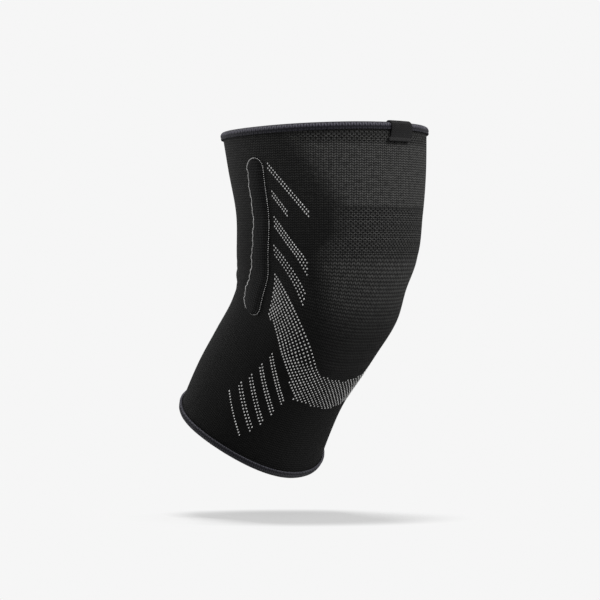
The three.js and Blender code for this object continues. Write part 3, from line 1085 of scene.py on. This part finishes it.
def floor_material():
    """Pale paper: it glows evenly far off, and takes the shadow below the sleeve."""
    material, tree, shader = new_material("pale_floor")
    place = tree.nodes.new("ShaderNodeTexCoord").outputs["Object"]
    away = tree.nodes.new("ShaderNodeVectorMath")
    away.operation = "SUBTRACT"
    away.inputs[1].default_value = SHADOW_SPOT
    tree.links.new(place, away.inputs[0])
    wide = (math.cos(CAMERA_TURN) / SHADOW_WIDE, math.sin(CAMERA_TURN) / SHADOW_WIDE, 0)
    deep = (math.sin(CAMERA_TURN) / SHADOW_DEEP, -math.cos(CAMERA_TURN) / SHADOW_DEEP, 0)
    squares = []
    for line in (wide, deep):
        across = tree.nodes.new("ShaderNodeVectorMath")
        across.operation = "DOT_PRODUCT"
        across.inputs[1].default_value = line
        tree.links.new(away.outputs["Vector"], across.inputs[0])
        squares.append(math_node(tree, "POWER", across.outputs["Value"], 2))
    far = map_range(tree, math_node(tree, "ADD", *squares), 0.2, 1.0, 0, 1)
    paper = mix_colour(tree, noise(tree, place, 3.0, 1), (0.58, 0.58, 0.58), (0.60, 0.60, 0.60))
    paper = mix_colour(tree, far, paper, (0, 0, 0))
    tree.links.new(paper, shader.inputs["Base Color"])
    glow = mix_colour(tree, far, (FLOOR_NEAR,) * 3, (FLOOR_FAR,) * 3)
    tree.links.new(glow, shader.inputs["Emission Color"])
    shader.inputs["Emission Strength"].default_value = 1.0
    set_finish(shader, 1.0, 0.0)
    return material


def build_stage():
    """A pale floor that sweeps up behind the sleeve."""
    profile = [(FLOOR_START, FLOOR_LEVEL), (FLOOR_RISE, FLOOR_LEVEL)]
    for i in range(1, RISE_STEPS + 1):
        turn = i / RISE_STEPS * math.pi / 2
        along = FLOOR_RISE + RISE_RADIUS * math.sin(turn)
        profile.append((along, FLOOR_LEVEL + RISE_RADIUS * (1 - math.cos(turn))))
    profile.append((FLOOR_RISE + RISE_RADIUS, SWEEP_TOP))
    _, right, _ = camera_axes()
    sideways, forward = right[:2], np.array([-right[1], right[0]])
    points = []
    for along, height in profile:
        for across in (-SWEEP_HALF, SWEEP_HALF):
            x, y = forward * along + sideways * across
            points.append((x, y, height))
    faces = grid_faces(len(profile), 2, False, False)
    piece = mesh_piece("floor_sweep", points, faces, floor_material())
    piece.visible_diffuse = False
    piece.visible_glossy = False


def aim_object(thing, place, way):
    """Puts a lamp or the camera at a place in metres and turns it to look along a way."""
    thing.location = place
    thing.rotation_mode = "QUATERNION"
    thing.rotation_quaternion = Vector(way).to_track_quat("-Z", "Y")


def add_lamp(name, place, aim, power, size, size_y):
    data = bpy.data.lights.new(name, "AREA")
    data.energy = power
    data.shape = "RECTANGLE"
    data.size, data.size_y = size, size_y
    lamp = add_object(name, data)
    aim_object(lamp, place, Vector(aim) - Vector(place))
    return lamp


def camera_axes():
    """The camera's directions: back from its aim, right and up."""
    a, e = CAMERA_TURN, CAMERA_RISE
    back = np.array([math.sin(a) * math.cos(e), -math.cos(a) * math.cos(e), math.sin(e)])
    right = np.array([math.cos(a), math.sin(a), 0.0])
    return back, right, np.cross(back, right)


def build_camera():
    back, right, up = camera_axes()
    data = bpy.data.cameras.new("camera")
    data.sensor_width = SENSOR
    data.lens = FOCAL_SHARE * SENSOR
    data.clip_start, data.clip_end = 0.05, 50
    camera = add_object("camera", data)
    aim = -right * AIM_LEFT - up * AIM_DOWN
    aim_object(camera, back * CAMERA_DISTANCE + aim, -back)
    bpy.context.scene.camera = camera


# The strip's place is back, right and up from the shadow's spot. A soft lamp has a name, a place
# back, right and up from the origin, a power and a size
STRIP_PLACE = (-0.4, -0.1, 1.55)
STRIP_POWER = 12
STRIP_SIZE = (0.5, 0.12)
SOFT_LAMPS = [
    ("key_soft", (1.0, 1.3, 1.2), 20.5, 0.8),
    ("left_rim", (-0.5, -1.3, 0.5), 9, 0.9),
]
WORLD_LIGHT = 0.38


def build_lights():
    """A strip overhead for the shadow, and two soft lamps that the floor doesn't take."""
    back, right, _ = camera_axes()
    axes = np.array([back, right, (0, 0, 1)])
    above = SHADOW_SPOT + np.dot(STRIP_PLACE, axes)
    add_lamp("top_strip", above, SHADOW_SPOT, STRIP_POWER, *STRIP_SIZE)
    kept_off = bpy.data.collections.new("kept_off_floor")
    kept_off.objects.link(bpy.data.objects["floor_sweep"])
    kept_off.collection_objects[0].light_linking.link_state = "EXCLUDE"
    for name, place, power, size in SOFT_LAMPS:
        lamp = add_lamp(name, np.dot(place, axes), (0, 0, 0), power, size, size)
        lamp.light_linking.receiver_collection = kept_off


def build_world():
    """Even light all round, which the camera sees as pale as the floor."""
    world = bpy.data.worlds.new("studio")
    bpy.context.scene.world = world
    world.use_nodes = True
    tree = world.node_tree
    seen = tree.nodes.new("ShaderNodeLightPath").outputs["Is Camera Ray"]
    strength = math_node(tree, "MULTIPLY_ADD", seen, FLOOR_FAR - WORLD_LIGHT, WORLD_LIGHT)
    tree.links.new(strength, tree.nodes["Background"].inputs["Strength"])
    tree.nodes["Background"].inputs["Color"].default_value = (1, 1, 1, 1)
    bpy.context.scene.view_settings.view_transform = "Standard"


# ---- Scene ----

build_camera()
build_stage()
build_lights()
build_world()

knit = knit_material()
# Top binding: painted shade darkens its lower band, leaving the upper band and the fold lighter
binding = yarn_material(
    "binding", (0.010, 0.010, 0.014), (0.150, 0.144, 0.182),
    wale=HEM_ROUND / HEM_LOOPS, course=3.6, depth=0.0009, sheen=0.12, edge=0.35,
)
# Bottom binding: painted highlight on its ridge, and painted shade on the band below it and round
# the fold
low_binding = yarn_material(
    "low_binding", (0.006, 0.006, 0.008), (0.150, 0.147, 0.180),
    wale=HEM_ROUND / HEM_LOOPS, course=3.6, depth=0.0009, sheen=0.1, edge=1.1, rim=0.4,
)
pad_knit = yarn_material(
    "channel_knit", (0.003, 0.003, 0.0034), (0.031, 0.031, 0.031),
    wale=3.0, course=1.9, depth=0.0006, sheen=0.03,
)
# Label: painted highlight on the lower band of its folded flap
weave = yarn_material(
    "label_weave", (0.004, 0.004, 0.005), (0.050, 0.049, 0.049),
    wale=2.4, course=1.5, depth=0.0003, sheen=0.03, slant=2.0, edge=2.4,
)
yarn = dot_material()

sleeve = build_sleeve(knit)
top_hem = build_hem("top_binding", True, TOP_HEM_HEIGHT, 0.0, binding)
bottom_hem = build_hem("bottom_binding", False, BOTTOM_HEM_HEIGHT, BOTTOM_RIDGE, low_binding)
outer_channel = build_channel("outer_channel_pad", -1, pad_knit)
inner_channel = build_channel("inner_channel_pad", 1, pad_knit)
label = build_label(weave)
dots = build_dots(yarn)
front_seam = build_stitches("front_seam_stitches", *FRONT_STITCH, False, yarn)
back_seam = build_stitches("back_seam_stitches", *BACK_STITCH, True, yarn)

for piece, nodes, slot in (
    (sleeve, ["knit_sleeve"], "knit"),
    (top_hem, ["top_hem"], "binding"),
    (bottom_hem, ["bottom_hem"], "binding"),
    (outer_channel, ["outer_stay_channel"], "channel_knit"),
    (inner_channel, ["inner_stay_channel"], "channel_knit"),
    (label, ["hem_label"], "label_weave"),
    (dots, [], "pattern_yarn"),
    (front_seam, [], "pattern_yarn"),
    (back_seam, [], "pattern_yarn"),
):
    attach(piece, "root")
    if nodes:
        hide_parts(*nodes)
